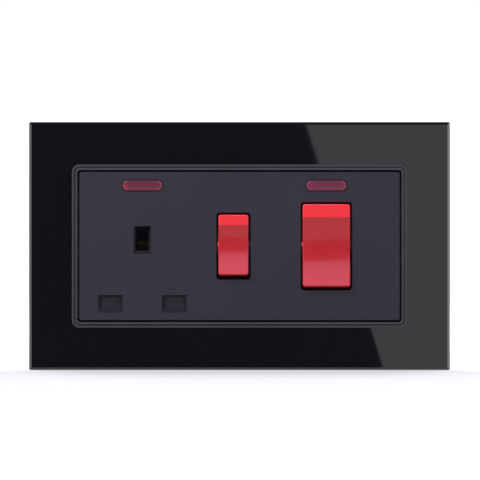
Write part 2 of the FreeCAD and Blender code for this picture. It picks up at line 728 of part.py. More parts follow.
def terminal_block(x, side):
    """A brass block bored along Z for the cable, with a tapped hole from the rear for its clamp screw."""
    low, high = sorted((side * block_inner_z, side * (block_inner_z + block_high)))
    block = box(x - block_width / 2, x + block_width / 2, block_front_y, floor_y, low, high)
    block = block.makeChamfer(0.4, [e for e in block.Edges if abs(e.tangentAt(e.FirstParameter).z) > 0.9])
    bore = rod_z(x, bore_y, bore_radius, low - 0.3, high + 0.3)
    tapped = rod_y(x, side * block_middle_z, clamp_screw_radius + running, bore_y, floor_y + 1)
    return block, [bore, tapped]


def feed_terminal(side_x):
    """Feed terminal above the switch; a tongue below it carries the fixed contact."""
    x = cooker_switch["x"] + side_x * terminal_offset
    pole_x = cooker_switch["x"] + side_x * pole_offset
    block, cuts = terminal_block(x, 1)
    front = bar_front_y(cooker_switch)
    tongue = box(pole_x - strip_width / 2, pole_x + strip_width / 2, front, front + bar_thick, tip_z() - tip_land,
                 block_inner_z + 0.2)
    return join(block, tongue).cut(cuts)


def load_terminal(side_x):
    """Load terminal below the switch; its bar runs up to the ridge of the moving contact."""
    x = cooker_switch["x"] + side_x * terminal_offset
    pole_x = cooker_switch["x"] + side_x * pole_offset
    block, cuts = terminal_block(x, -1)
    front = bar_front_y(cooker_switch)
    bar = box(pole_x - strip_width / 2, pole_x + strip_width / 2, front, front + bar_thick, -block_inner_z - 0.2,
              ridge_land)
    return join(block, bar, *fulcrum(cooker_switch, pole_x)).cut(cuts)


def earth_terminal():
    block, cuts = terminal_block(earth_terminal_x, 1)
    return block.cut(cuts)


def clamp_screw(x, side):
    """A clamp screw wound back until its point is just out of the bore."""
    z = side * block_middle_z
    point = bore_y + bore_radius + seat_gap
    shank = rod_y(x, z, clamp_screw_radius, point, point + clamp_length)
    head = rod_y(x, z, clamp_head_radius, point + clamp_length, point + clamp_length + clamp_head)
    slot = box(x - clamp_head_radius - 1, x + clamp_head_radius + 1, point + clamp_length + clamp_head - 0.9,
               point + clamp_length + clamp_head + 1, z - 0.5, z + 0.5)
    return join(shank, head).cut(slot)


def housing_screw(x, z):
    """A self-tapping screw from the back of the housing into a boss of the front plate."""
    shank = rod_y(x, z, screw_radius, insert_back_y + screw_start, housing_back_y - screw_head + 0.1)
    head = rod_y(x, z, screw_head_radius, housing_back_y - screw_head, housing_back_y)
    recess = [centred(x, z, 2.6, 0.7, housing_back_y - 0.9, housing_back_y + 1),
              centred(x, z, 0.7, 2.6, housing_back_y - 0.9, housing_back_y + 1)]
    return join(shank, head).cut(recess)


def line_link():
    """Strip from the feed line terminal to the socket switch, ending in the bar of its fixed contact."""
    front = bar_front_y(socket_switch)
    x = socket_switch["x"]
    end = cooker_switch["x"] - terminal_offset - block_width / 2
    low = block_inner_z + line_run[0]
    run = box(x - strip_width / 2, end, front, front + bar_thick, low, block_inner_z + line_run[1])
    drop = box(x - strip_width / 2, x + strip_width / 2, front, front + bar_thick, tip_z() - tip_land, low + 0.2)
    return join(run, drop)


def switched_line_bar():
    """Bar from the ridge of the socket's moving contact to the line pin contact."""
    front = bar_front_y(socket_switch)
    x = socket_switch["x"]
    left = pin_row_x + pin_half_pitch - strip_width / 2
    low = tail_top_z - tail_width
    down = box(x - strip_width / 2, x + strip_width / 2, front, front + bar_thick, low, ridge_land)
    run = box(left, x, front, front + bar_thick, low, tail_top_z)
    return join(down, run, *fulcrum(socket_switch, x))


def flared_leaf(inner, y0, y1):
    """Side view of one spring leaf above a pin: straight, with its mouth bent away."""
    return [(y0, inner + leaf_flare), (y0 + 2.0, inner), (y1, inner), (y1, inner + leaf), (y0 + 2.0, inner + leaf),
            (y0, inner + leaf_flare + leaf * 0.8)]


def power_contact(side):
    """A folded clip round a power pin: two leaves, a base, and a tail that meets its bar."""
    x = pin_row_x + side * pin_half_pitch
    half = power_pin[0] / 2
    back = clip_back_y()
    inner = power_pin[1] / 2 + leaf_play
    points = flared_leaf(inner, cover_back_y + 0.9, back)
    upper = [(y, power_pin_z + z) for y, z in points]
    lower = [(y, power_pin_z - z) for y, z in points]
    leaves = [side_cut(polygon(x - half, points_now), x - half, x + half) for points_now in (upper, lower)]
    base = box(x - half, x + half, back - leaf, back, power_pin_z - inner - leaf, tail_top_z)
    return join(base, *leaves)


def line_contact():
    return power_contact(1)


def neutral_contact():
    """The neutral clip has a folded leg that reaches back to the link on the housing's floor."""
    clip = power_contact(-1)
    left = -cavity_half_x + 0.9
    back = clip_back_y()
    low = tail_top_z - wing_width
    wing = box(left, pin_row_x - pin_half_pitch, back - leaf, back, low, tail_top_z)
    leg = box(left, left + leaf, back - leaf, floor_y - link_thick, low, tail_top_z)
    return join(clip, wing, leg)


def earth_contact():
    """A folded clip round the earth pin, its leaves left and right, with a tail up to the earth strip."""
    inner = earth_pin[0] / 2 + leaf_play
    half = earth_pin[1] / 2 - 0.2
    back = earth_base_y() + leaf
    start = face_y + switch_room()
    leaves = []
    for side in (-1, 1):
        flare = [Vector(pin_row_x + side * (inner + leaf_flare), start, earth_pin_z - half),
                 Vector(pin_row_x + side * inner, start + 2, earth_pin_z - half),
                 Vector(pin_row_x + side * inner, back, earth_pin_z - half),
                 Vector(pin_row_x + side * (inner + leaf), back, earth_pin_z - half),
                 Vector(pin_row_x + side * (inner + leaf), start + 2, earth_pin_z - half),
                 Vector(pin_row_x + side * (inner + leaf_flare + leaf), start, earth_pin_z - half)]
        edges = [Part.LineSegment(a, b).toShape() for a, b in zip(flare, flare[1:] + flare[:1])]
        leaves.append(Part.Face(Part.Wire(edges)).extrude(Vector(0, 0, 2 * half)))
    base = box(pin_row_x - inner - leaf, pin_row_x + inner + leaf, back - leaf, back, earth_pin_z - half,
               block_inner_z + 3.0)
    return join(base, *leaves)


def switch_room():
    """Depth behind the insert's face that the shutter's ramp takes up."""
    return insert_wall + slip + shutter_thick + ramp_back + ramp_room


def earth_strip():
    """Strip from the earth contact to the earth terminal and up to the tab of the steel plate."""
    front = earth_base_y() + leaf
    back = front + link_thick
    left = pin_row_x - earth_pin[0] / 2 - leaf
    right = earth_terminal_x - block_width / 2
    low = block_inner_z + earth_run[0]
    high = block_inner_z + earth_run[1]
    run = box(left, right, front, back, low, high)
    lug_top = cavity_half_z - seat_gap - steel_thick
    x0 = earth_tab_x - earth_tab_width / 2
    x1 = earth_tab_x + earth_tab_width / 2
    rise = box(x0, x1, front, back, high - 0.2, lug_top)
    lug = box(x0, x1, 2 * rivet_y - back, back, lug_top - link_thick, lug_top)
    body = join(run, rise, lug)
    return body.cut(rod_z(earth_tab_x, rivet_y, rivet_radius, lug_top - 3, lug_top + 1))


def earth_rivet():
    lug_top = cavity_half_z - seat_gap - steel_thick
    under = lug_top - link_thick
    shank = rod_z(earth_tab_x, rivet_y, rivet_radius, under, cavity_half_z - seat_gap)
    head = rod_z(earth_tab_x, rivet_y, rivet_head_radius, under - rivet_head, under)
    return join(shank, head)


def neutral_link():
    """Strip on the housing's floor from the feed neutral terminal to the neutral pin contact."""
    back = floor_y
    front = back - link_thick
    left = -cavity_half_x + 0.5
    end = cooker_switch["x"] + terminal_offset + strip_width / 2
    run = box(left, end, front, back, link_z - link_width / 2, link_z + link_width / 2)
    rise = box(end - strip_width, end, front, back, link_z, block_inner_z)
    drop = box(left, left + link_width, front, back, tail_top_z - link_foot, link_z)
    return join(run, rise, drop)


def shutter():
    """One moulding: two blades over the power pins, joined to a frame whose ramp the earth pin lifts."""
    blade_high = throat_high + 2 * shutter_cover_lap
    y0, y1 = shutter_front_y, shutter_back_y
    top = power_pin_z + blade_high / 2
    pieces = [centred(pin_row_x + side * pin_half_pitch, power_pin_z, 2 * blade_half, blade_high + 0.2, y0, y1)
              for side in (-1, 1)]
    half = pin_half_pitch + blade_half
    pieces.append(box(pin_row_x - half, pin_row_x + half, y0, y1, top - 0.2, top + shutter_bar))
    gap = shutter_frame_half()
    for side in (-1, 1):
        low, high = sorted((pin_row_x + side * gap, pin_row_x + side * (gap + shutter_leg)))
        pieces.append(box(low, high, y0, y1, top, ramp_high_z))
    pin_top = earth_pin_z + earth_pin[1] / 2
    low_z = pin_top - shutter_lift + slip
    back = y1 + ramp_back
    wedge = [(y0, ramp_high_z), (y0, pin_top + ramp_wall), (y1, pin_top + ramp_wall), (back - ramp_nose, low_z),
             (back, low_z),
             (back, ramp_high_z)]
    pieces.append(side_cut(polygon(pin_row_x - gap - 0.2, wedge), pin_row_x - gap - 0.2, pin_row_x + gap + 0.2))
    return join(*pieces)


def shutter_frame_half():
    """Half the clear width between the shutter's legs, a little more than the earth opening's."""
    return earth_throat()[0] / 2 + earth_margin[0] + slip


def shutter_cover_plate():
    """The moulding that holds the shutter in its guides, with a seat for its spring."""
    throat = power_throat()
    left, right = -cavity_half_x + cover_play, cover_right_x
    body = box(left, right, cover_front_y, cover_back_y, -cavity_half_z + cover_play, seat_z + spring_seat)
    gap = shutter_frame_half() + 0.25
    cuts = [centred(pin_row_x + side * pin_half_pitch, power_pin_z, throat[0] + 0.4, throat[1] + 0.4,
                    cover_front_y - 1, cover_back_y + 1) for side in (-1, 1)]
    cuts.append(box(pin_row_x - gap, pin_row_x + gap, cover_front_y - 1, cover_back_y + 1,
                    earth_pin_z - earth_throat()[1] / 2 - slip, seat_z))
    cuts += [rod_y(x, z, cover_screw_radius + slip, cover_front_y - 1, cover_back_y + 1)
             for x, z in cover_screw_places]
    for low, high in ((left - 1, pin_row_x - cover_neck), (pin_row_x + cover_neck, right + 1)):
        cuts.append(box(low, high, cover_front_y - 1, cover_back_y + 1, cover_neck_z, seat_z + 2))
    seat = box(pin_row_x - 2.6, pin_row_x + 2.6, cover_front_y, spring_y() + shutter_spring_radius + 0.5, seat_z,
               seat_z + spring_seat)
    return join(body, seat).cut(cuts)


def spring_y():
    return shutter_back_y + shutter_spring_radius + 0.9


def shutter_spring():
    coil = spring(shutter_spring_radius, shutter_spring_wire, shutter_spring_turns, shutter_spring_length)
    coil.translate(Vector(pin_row_x, spring_y(), ramp_high_z))
    return coil


def cover_screw(x, z):
    shank = rod_y(x, z, cover_screw_radius, insert_back_y - 1.2, cover_back_y + 0.1)
    head = rod_y(x, z, cover_head_radius, cover_back_y, cover_back_y + cover_head)
    slot = centred(x, z, 3 * cover_head_radius, 0.6, cover_back_y + cover_head / 2, cover_back_y + 2 * cover_head)
    return join(shank, head).cut(slot)


def neon_lens(x):
    """A red lens let into the insert's face, with a flange and two lamp cradles behind."""
    window = neon_opening(x, 0.0, face_y, insert_back_y + 0.1)
    front = [e for e in window.Edges if max(v.Y for v in e.Vertexes) < face_y + 0.01]
    window = window.makeFillet(0.3, front)
    flange = neon_opening(x, neon_flange, insert_back_y, insert_back_y + neon_flange)
    clips = [box(x + side * 3.5 - cradle / 2, x + side * 3.5 + cradle / 2, insert_back_y + neon_flange - 0.1,
                 lamp_y + 0.6, neon_z - lamp_radius - 0.7, neon_z + lamp_radius + 0.7) for side in (-1, 1)]
    body = join(window, flange, *clips)
    return body.cut([rod_x(lamp_y, neon_z, lamp_radius + running, x - 6, x + 6),
                     box(x - 6, x + 6, lamp_y, lamp_y + 2, neon_z - lamp_radius - running,
                         neon_z + lamp_radius + running)])


def neon_lamp(x):
    half = lamp_length / 2 - lamp_radius
    tube = rod_x(lamp_y, neon_z, lamp_radius, x - half, x + half)
    ends = [Part.makeSphere(lamp_radius, Vector(x + side * half, lamp_y, neon_z)) for side in (-1, 1)]
    return join(tube, *ends)


def resistor(x, side):
    """Resistor in line with its lamp, with a small step at each end of its body."""
    start = x + side * (lamp_length / 2 + lead_gap)
    low, high = sorted((start, start + side * resistor_length))
    ends = [rod_x(lamp_y, neon_z, resistor_radius, low, low + 1.2),
            rod_x(lamp_y, neon_z, resistor_radius, high - 1.2, high)]
    return join(rod_x(lamp_y, neon_z, resistor_radius - 0.2, low, high), *ends)


def lead(points):
    """A stiff bare wire through the given points."""
    runs = []
    for a, b in zip(points, points[1:]):
        runs.append(Part.makeCylinder(lead_radius, (b - a).Length, a, b - a))
    bends = [Part.makeSphere(lead_radius, p) for p in points[1:-1]]
    return join(runs[0], *runs[1:], *bends)


def neon_leads(x, side, far_x, far_end, near_x, near_end):
    """Leads of one indicator: from the lamp's bare end, between lamp and resistor, and on from the resistor."""
    tip_far = x - side * lamp_length / 2
    tip_near = x + side * lamp_length / 2
    resistor_in = x + side * (lamp_length / 2 + lead_gap)
    resistor_out = resistor_in + side * resistor_length
    far = lead([Vector(tip_far, lamp_y, neon_z), Vector(far_x, lamp_y, neon_z)] + far_end)
    between = lead([Vector(tip_near, lamp_y, neon_z), Vector(resistor_in, lamp_y, neon_z)])
    near = lead([Vector(resistor_out, lamp_y, neon_z), Vector(near_x, lamp_y, neon_z)] + near_end)
    return Part.makeCompound([far, between, near])


def socket_neon_leads():
    far_x, near_x = socket_lead_x
    link_face = floor_y - link_thick
    bar_face = bar_front_y(socket_switch)
    near_z = tail_top_z - tail_width + lead_rise
    return neon_leads(socket_neon_x, 1,
                      far_x, [Vector(far_x, link_face - lead_foot, link_z), Vector(far_x, link_face, link_z)],
                      near_x, [Vector(near_x, bar_face - lead_foot, near_z), Vector(near_x, bar_face, near_z)])


def cooker_neon_leads():
    pole = cooker_switch["x"]
    depth = bar_front_y(cooker_switch) + bar_thick / 2
    edge = pole_offset + strip_width / 2
    far_x, near_x = cooker_lead_x
    low = cooker_lead_z
    return neon_leads(cooker_neon_x, -1,
                      far_x, [Vector(far_x, depth, low), Vector(pole + edge, depth, low)],
                      near_x, [Vector(near_x, depth, low), Vector(pole - edge, depth, low)])


def group(shapes):
    return Part.makeCompound(list(shapes))


def all_parts():
    pole_x = [cooker_switch["x"] + side * pole_offset for side in (-1, 1)]
    return {
        "glass_frame": glass_frame(),
        "panel_carrier": panel_carrier(),
        "front_plate": front_plate(),
        "rocker_retainer": retainer(),
        "mounting_plate": mounting_plate(),
        "rear_housing": rear_housing(),
        "housing_screws": group(housing_screw(x, z) for x, z in post_places),
        "socket_rocker": rocker(socket_switch, (0.0,)),
        "cooker_rocker": rocker(cooker_switch, (-pole_offset, pole_offset)),
        "socket_plunger": plunger(socket_switch, 0.0),
        "socket_plunger_spring": plunger_spring(socket_switch, 0.0),
        "cooker_plungers": group(plunger(cooker_switch, side * pole_offset) for side in (-1, 1)),
        "cooker_plunger_springs": group(plunger_spring(cooker_switch, side * pole_offset) for side in (-1, 1)),
        "socket_moving_contact": see_saw(socket_switch, socket_switch["x"]),
        "socket_moving_tip": moving_tip(socket_switch, socket_switch["x"]),
        "socket_fixed_tip": fixed_tip(socket_switch, socket_switch["x"]),
        "cooker_line_moving_contact": see_saw(cooker_switch, pole_x[0]),
        "cooker_neutral_moving_contact": see_saw(cooker_switch, pole_x[1]),
        "cooker_moving_tips": group(moving_tip(cooker_switch, x) for x in pole_x),
        "cooker_fixed_tips": group(fixed_tip(cooker_switch, x) for x in pole_x),
        "feed_line_terminal": feed_terminal(-1),
        "feed_neutral_terminal": feed_terminal(1),
        "load_line_terminal": load_terminal(-1),
        "load_neutral_terminal": load_terminal(1),
        "earth_terminal": earth_terminal(),
        "terminal_screws": group(clamp_screw(x, side) for x, side in terminal_places()),
        "line_link": line_link(),
        "switched_line_bar": switched_line_bar(),
        "line_contact": line_contact(),
        "neutral_contact": neutral_contact(),
        "earth_contact": earth_contact(),
        "earth_strip": earth_strip(),
        "earth_rivet": earth_rivet(),
        "neutral_link": neutral_link(),
        "shutter": shutter(),
        "shutter_cover": shutter_cover_plate(),
        "shutter_spring": shutter_spring(),
        "shutter_cover_screws": group(cover_screw(x, z) for x, z in cover_screw_places),
        "socket_neon_lens": neon_lens(socket_neon_x),
        "cooker_neon_lens": neon_lens(cooker_neon_x),
        "socket_neon_lamp": neon_lamp(socket_neon_x),
        "cooker_neon_lamp": neon_lamp(cooker_neon_x),
        "socket_neon_resistor": resistor(socket_neon_x, 1),
        "cooker_neon_resistor": resistor(cooker_neon_x, -1),
        "socket_neon_leads": socket_neon_leads(),
        "cooker_neon_leads": cooker_neon_leads(),
    }


os.makedirs("parts", exist_ok=True)
for name, shape in all_parts().items():
    shape.exportStep(f"parts/{name}.step")
    size = shape.BoundBox
    print(f"{name}: {len(shape.Solids)} solids, {size.XLength:.2f} x {size.YLength:.2f} x {size.ZLength:.2f},"
          f" valid {shape.isValid()}")
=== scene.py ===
# %% [markdown]
# # Dressing a cooker control unit
# The part is a two-gang wall plate: a polished black glass surround, a dark moulded insert, a switched socket
# and a large red cooker switch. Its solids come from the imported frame. Here they get a camera, studio light
# and finishes, and the few pieces that look better when they are made in Blender.

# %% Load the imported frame
import bmesh
import bpy
import json
import math
from mathutils import Matrix, Vector

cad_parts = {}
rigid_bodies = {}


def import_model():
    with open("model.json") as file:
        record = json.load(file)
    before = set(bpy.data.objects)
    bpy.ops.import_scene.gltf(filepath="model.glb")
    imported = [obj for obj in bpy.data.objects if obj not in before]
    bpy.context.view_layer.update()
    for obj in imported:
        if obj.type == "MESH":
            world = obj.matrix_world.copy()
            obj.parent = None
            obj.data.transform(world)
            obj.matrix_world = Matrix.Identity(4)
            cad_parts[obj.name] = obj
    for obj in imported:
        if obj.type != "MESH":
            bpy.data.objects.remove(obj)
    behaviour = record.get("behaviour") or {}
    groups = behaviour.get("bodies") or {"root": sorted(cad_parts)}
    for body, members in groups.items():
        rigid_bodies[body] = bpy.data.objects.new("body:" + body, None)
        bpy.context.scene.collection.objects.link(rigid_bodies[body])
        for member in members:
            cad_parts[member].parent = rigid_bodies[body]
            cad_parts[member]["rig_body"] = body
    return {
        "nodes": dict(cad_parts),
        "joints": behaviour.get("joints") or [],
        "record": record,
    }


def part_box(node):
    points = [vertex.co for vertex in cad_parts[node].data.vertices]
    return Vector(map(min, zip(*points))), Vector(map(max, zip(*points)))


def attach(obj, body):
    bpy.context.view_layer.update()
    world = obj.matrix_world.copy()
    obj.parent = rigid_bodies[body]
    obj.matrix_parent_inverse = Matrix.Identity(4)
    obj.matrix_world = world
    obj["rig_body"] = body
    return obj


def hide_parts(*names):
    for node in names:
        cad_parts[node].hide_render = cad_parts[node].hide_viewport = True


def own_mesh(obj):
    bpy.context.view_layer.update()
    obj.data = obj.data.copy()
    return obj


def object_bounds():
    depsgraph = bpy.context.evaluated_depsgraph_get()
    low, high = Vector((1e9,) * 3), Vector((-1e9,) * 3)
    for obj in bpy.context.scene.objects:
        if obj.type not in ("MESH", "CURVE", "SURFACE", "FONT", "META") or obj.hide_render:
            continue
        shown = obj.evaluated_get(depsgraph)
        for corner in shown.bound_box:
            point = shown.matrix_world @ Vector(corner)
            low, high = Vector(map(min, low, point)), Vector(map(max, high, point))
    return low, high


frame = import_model()
cad_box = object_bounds()
nodes = frame["nodes"]
scene = bpy.context.scene
print("solids in the frame:", len(nodes))
print("box in mm:", [round(c * 1000, 2) for corner in cad_box for c in corner])

# %% [markdown]
# ## Camera
# The photograph looks straight at the plate with a long lens, so the sides of the plate hardly show.
# A long lens from 1.3 m gives that. The picture is 480 by 480 pixels and the plate is 421 pixels wide in it,
# a little below the middle, so the camera stands 2 mm above the plate's centre and stays level.

# %% Camera
PIXELS = 480
PIXELS_PER_MM = 2.884
PLATE_FRONT = -0.010
CAMERA_DISTANCE = 1.3
SENSOR = 36.0
CAMERA_SIDE = 0.00017
CAMERA_UP = 0.0021
CLIP_NEAR = 0.05
CLIP_FAR = 20.0

view_width = PIXELS / PIXELS_PER_MM / 1000
camera_data = bpy.data.cameras.new("studio camera")
camera_data.sensor_width = SENSOR
camera_data.lens = SENSOR * CAMERA_DISTANCE / view_width
camera_data.clip_start = CLIP_NEAR
camera_data.clip_end = CLIP_FAR
camera = bpy.data.objects.new("studio camera", camera_data)
camera.location = (CAMERA_SIDE, PLATE_FRONT - CAMERA_DISTANCE, CAMERA_UP)
camera.rotation_euler = (math.pi / 2, 0, 0)
scene.collection.objects.link(camera)
scene.camera = camera
print("lens in mm:", round(camera_data.lens, 1))

# %% [markdown]
# ## Studio
# Glass and glossy plastic show the studio more than their own colour. The dark stripe across each rocker is
# the dark gap round the camera, between an upper softbox and a pale lower half. The slanted edge in the glass
# is the side of a white card that stands beside the camera. The polished bevel catches two side strips.
# A narrow key light hangs high over the plate, so that it lights the sloped top of each rocker most. A small
# fill at the upper left lifts the insert's face, and a back light throws the plate's soft shadow forward on
# the paper. Near the plate the paper glows less for the camera, a painted shade under that shadow. The camera
# sees the room white. What the pieces see of it is dim from just below the camera's height upward, pale below
# that, dark further down and pale again underneath. The paper neither lights them nor shows in them.

# %% Floor
FLOOR_Z = cad_box[0].z
FLOOR_TONE = (0.30, 0.294, 0.33)
# Near the plate the paper glows less for the camera: a painted shade round the plate, under its real shadow
GLOW_NEAR = 0.62
GLOW_FAR = 1.0
GLOW_START = 0.16
GLOW_FULL = 0.5
GLOW_COLOUR = (1, 0.99, 1.03)
PAPER_ROUGH = 0.9
PAPER_SHINE = 0.1
FLOOR_SIDE = 4
FLOOR_FRONT = 3


def light_path(tree, output):
    """One output of a Light Path node, such as Is Camera Ray."""
    node = tree.nodes.new("ShaderNodeLightPath")
    return node.outputs[output]


floor_mesh = bpy.data.meshes.new("floor")
corners = [(-FLOOR_SIDE, -FLOOR_FRONT, FLOOR_Z), (FLOOR_SIDE, -FLOOR_FRONT, FLOOR_Z),
           (FLOOR_SIDE, FLOOR_SIDE, FLOOR_Z), (-FLOOR_SIDE, FLOOR_SIDE, FLOOR_Z)]
floor_mesh.from_pydata(corners, [], [(0, 1, 2, 3)])
floor = bpy.data.objects.new("floor", floor_mesh)
scene.collection.objects.link(floor)
floor_finish = bpy.data.materials.new("white paper")
floor_finish.use_nodes = True
floor_tree = floor_finish.node_tree
paper = floor_tree.nodes["Principled BSDF"]
paper.inputs["Base Color"].default_value = (*FLOOR_TONE, 1)
paper.inputs["Roughness"].default_value = PAPER_ROUGH
paper.inputs["Specular IOR Level"].default_value = PAPER_SHINE
paper.inputs["Emission Color"].default_value = (*GLOW_COLOUR, 1)
floor_place = floor_tree.nodes.new("ShaderNodeTexCoord")
away = floor_tree.nodes.new("ShaderNodeVectorMath")
away.operation = "LENGTH"
floor_tree.links.new(floor_place.outputs["Object"], away.inputs[0])
shade_near_plate = floor_tree.nodes.new("ShaderNodeMapRange")
shade_near_plate.interpolation_type = "SMOOTHSTEP"
shade_near_plate.inputs["From Min"].default_value = GLOW_START
shade_near_plate.inputs["From Max"].default_value = GLOW_FULL
shade_near_plate.inputs["To Min"].default_value = GLOW_NEAR
shade_near_plate.inputs["To Max"].default_value = GLOW_FAR
floor_tree.links.new(away.outputs["Value"], shade_near_plate.inputs["Value"])
glow = floor_tree.nodes.new("ShaderNodeMath")
glow.operation = "MULTIPLY"
floor_tree.links.new(shade_near_plate.outputs[0], glow.inputs[1])
floor_tree.links.new(light_path(floor_tree, "Is Camera Ray"), glow.inputs[0])
floor_tree.links.new(glow.outputs[0], paper.inputs["Emission Strength"])
floor_mesh.materials.append(floor_finish)
floor.visible_glossy = False
floor.visible_diffuse = False
print("floor at z in mm:", round(FLOOR_Z * 1000, 2))

# %% Room
ROOM_DIM = 0.07
ROOM_LOW = 0.62
ROOM_UNDER = 0.15
ROOM_DOWN = 0.9
DOWN_ANGLE = 55.0
LOW_ANGLE = 25.0
GAP_ANGLE = 3.5
GAP_EDGE = 0.006
LEVEL_EDGE = 0.05
ROOM_SEEN = 1.05

world = bpy.data.worlds.new("studio room")
scene.world = world
world.use_nodes = True
room = world.node_tree
room.nodes.clear()
output = room.nodes.new("ShaderNodeOutputWorld")
seen = room.nodes.new("ShaderNodeBackground")
seen.inputs["Color"].default_value = (1, 1, 1, 1)
seen.inputs["Strength"].default_value = ROOM_SEEN
unseen = room.nodes.new("ShaderNodeBackground")
direction = room.nodes.new("ShaderNodeTexCoord")
split = room.nodes.new("ShaderNodeSeparateXYZ")
height = room.nodes.new("ShaderNodeMapRange")
height.inputs["From Min"].default_value = -1.0
height.inputs["From Max"].default_value = 1.0
ramp = room.nodes.new("ShaderNodeValToRGB")
gap, low, down = (math.sin(math.radians(angle)) / 2 for angle in (GAP_ANGLE, LOW_ANGLE, DOWN_ANGLE))
stops = [(0.0, ROOM_DOWN), (0.5 - down, ROOM_DOWN), (0.5 - down + LEVEL_EDGE, ROOM_UNDER),
         (0.5 - low - LEVEL_EDGE, ROOM_UNDER), (0.5 - low, ROOM_LOW), (0.5 - gap, ROOM_LOW),
         (0.5 - gap + GAP_EDGE, ROOM_DIM), (1.0, ROOM_DIM)]
ramp.color_ramp.elements[0].position = stops[0][0]
ramp.color_ramp.elements[1].position = stops[-1][0]
for place, _ in stops[1:-1]:
    ramp.color_ramp.elements.new(place)
for element, (_, level) in zip(ramp.color_ramp.elements, stops):
    element.color = (level, level, level, 1)
choose = room.nodes.new("ShaderNodeMixShader")
room.links.new(direction.outputs["Generated"], split.inputs[0])
room.links.new(split.outputs["Z"], height.inputs["Value"])
room.links.new(height.outputs[0], ramp.inputs[0])
room.links.new(ramp.outputs[0], unseen.inputs["Color"])
room.links.new(light_path(room, "Is Camera Ray"), choose.inputs[0])
room.links.new(unseen.outputs[0], choose.inputs[1])
room.links.new(seen.outputs[0], choose.inputs[2])
room.links.new(choose.outputs[0], output.inputs["Surface"])
scene.view_settings.view_transform = "Standard"
print("room levels from below to above:", [level for _, level in stops])

# %% Softboxes
AIM = Vector((0, -0.01, 0))


def softbox(name, place, width, height, level, tint=(1, 1, 1)):
    """A rectangular light at a place, facing the plate; level is its brightness, 1 for white paper."""
    data = bpy.data.lights.new(name, "AREA")
    data.shape = "RECTANGLE"
    data.size = width
    data.size_y = height
    data.energy = level * math.pi * width * height
    data.color = tint
    lamp = bpy.data.objects.new(name, data)
    back = (Vector(place) - AIM).normalized()
    lamp.matrix_world = Matrix.Translation(place) @ back.to_track_quat("Z", "Y").to_matrix().to_4x4()
    lamp.visible_camera = False
    scene.collection.objects.link(lamp)
    return lamp


def from_angles(azimuth, elevation, distance):
    """A place seen from the plate; azimuth 0 is straight in front and 90 is on the right."""
    a, e = math.radians(azimuth), math.radians(elevation)
    return AIM + distance * Vector((math.sin(a) * math.cos(e), -math.cos(a) * math.cos(e), math.sin(e)))


UPPER_TINT = (1.0, 0.95, 1.40)
key = softbox("key", (-0.15, 0.04, 0.79), width=1.2, height=0.085, level=84.0)
fill = softbox("fill", from_angles(-35, 45, 0.5), width=0.15, height=0.15, level=9.0)
back = softbox("back light", from_angles(180, 52, 1.0), width=1.2, height=0.8, level=6.9)
upper = softbox("upper softbox", from_angles(0, 20.0, 1.25), width=1.3, height=0.50, level=1.3,
                tint=UPPER_TINT)
left_strip = softbox("left strip", from_angles(-84, 8, 0.9), width=0.30, height=0.9, level=1.75)
right_strip = softbox("right strip", from_angles(84, 8, 0.9), width=0.34, height=0.9, level=2.9)
print("softboxes:", [o.name for o in (key, fill, back, upper, left_strip, right_strip)])

# %% Card beside the camera
CARD_DEPTH = 1.17
CARD_TOP = (0.0224, 0.0429)
CARD_FOOT = (0.0495, -0.0424)
CARD_WIDTH = 0.36
CARD_LENGTH = 0.21
CARD_LEVEL = 0.95

spread = 1 + CARD_DEPTH / CAMERA_DISTANCE
top_point = Vector((CARD_TOP[0] * spread, 0, CARD_TOP[1] * spread))
foot_point = Vector((CARD_FOOT[0] * spread, 0, CARD_FOOT[1] * spread))
edge = (top_point - foot_point).normalized()
outward = Vector((edge.z, 0, -edge.x))
middle = (top_point + foot_point) / 2 + outward * CARD_WIDTH / 2 + Vector((0, PLATE_FRONT - CARD_DEPTH, 0))
card = softbox("card", middle, width=CARD_WIDTH, height=CARD_LENGTH, level=CARD_LEVEL)
# The card faces straight along +Y, and its side follows the leaning edge
toward = Vector((0, 1, 0))
card.matrix_world = Matrix.Translation(middle) @ Matrix((outward, edge, -toward)).transposed().to_4x4()
print("card edge leans, in degrees:", round(math.degrees(math.atan2(-edge.x, edge.z)), 1))

# %% [markdown]
# ## Shared effects
# Several finishes share the same small flaws: the spark-eroded grain of a mould, the lines that rolling
# leaves in sheet metal, and faint smudges on gloss. Each is one shader node group that puts out plain values.
# All of them read object coordinates, which stay still on the piece.

# %% Node group helpers


def new_group(name, inputs, outputs):
    """A shader node group with its input and output nodes; each output is a plain value."""
    group = bpy.data.node_groups.new(name, "ShaderNodeTree")
    for label, kind, value in inputs:
        socket = group.interface.new_socket(label, in_out="INPUT", socket_type=kind)
        socket.default_value = value
    for label in outputs:
        group.interface.new_socket(label, in_out="OUTPUT", socket_type="NodeSocketFloat")
    return group, group.nodes.new("NodeGroupInput"), group.nodes.new("NodeGroupOutput")


def add(tree, kind, **settings):
    """A new node in a tree, with the given settings."""
    node = tree.nodes.new(kind)
    for name, value in settings.items():
        setattr(node, name, value)
    return node


def give(tree, value, socket):
    """Sets a socket to a number, or links it to another node's output."""
    if isinstance(value, (int, float)):
        socket.default_value = value
    else:
        tree.links.new(value, socket)


def noise(tree, vector, scale, detail=2.0, roughness=0.5):
    """A noise pattern; scale is a number or another node's output."""
    node = add(tree, "ShaderNodeTexNoise")
    node.inputs["Detail"].default_value = detail
    node.inputs["Roughness"].default_value = roughness
    give(tree, scale, node.inputs["Scale"])
    tree.links.new(vector, node.inputs["Vector"])
    return node.outputs["Fac"]


def spread_out(tree, value, low=0.3, high=0.7):
    """Stretches the middle of a pattern to the full range from 0 to 1."""
    node = add(tree, "ShaderNodeMapRange", clamp=True)
    node.inputs["From Min"].default_value = low
    node.inputs["From Max"].default_value = high
    tree.links.new(value, node.inputs["Value"])
    return node.outputs[0]


def math_node(tree, operation, first, second=0.0):
    """Works on one or two numbers or outputs; an operation on one takes no notice of the second."""
    node = add(tree, "ShaderNodeMath", operation=operation)
    give(tree, first, node.inputs[0])
    give(tree, second, node.inputs[1])
    return node.outputs[0]


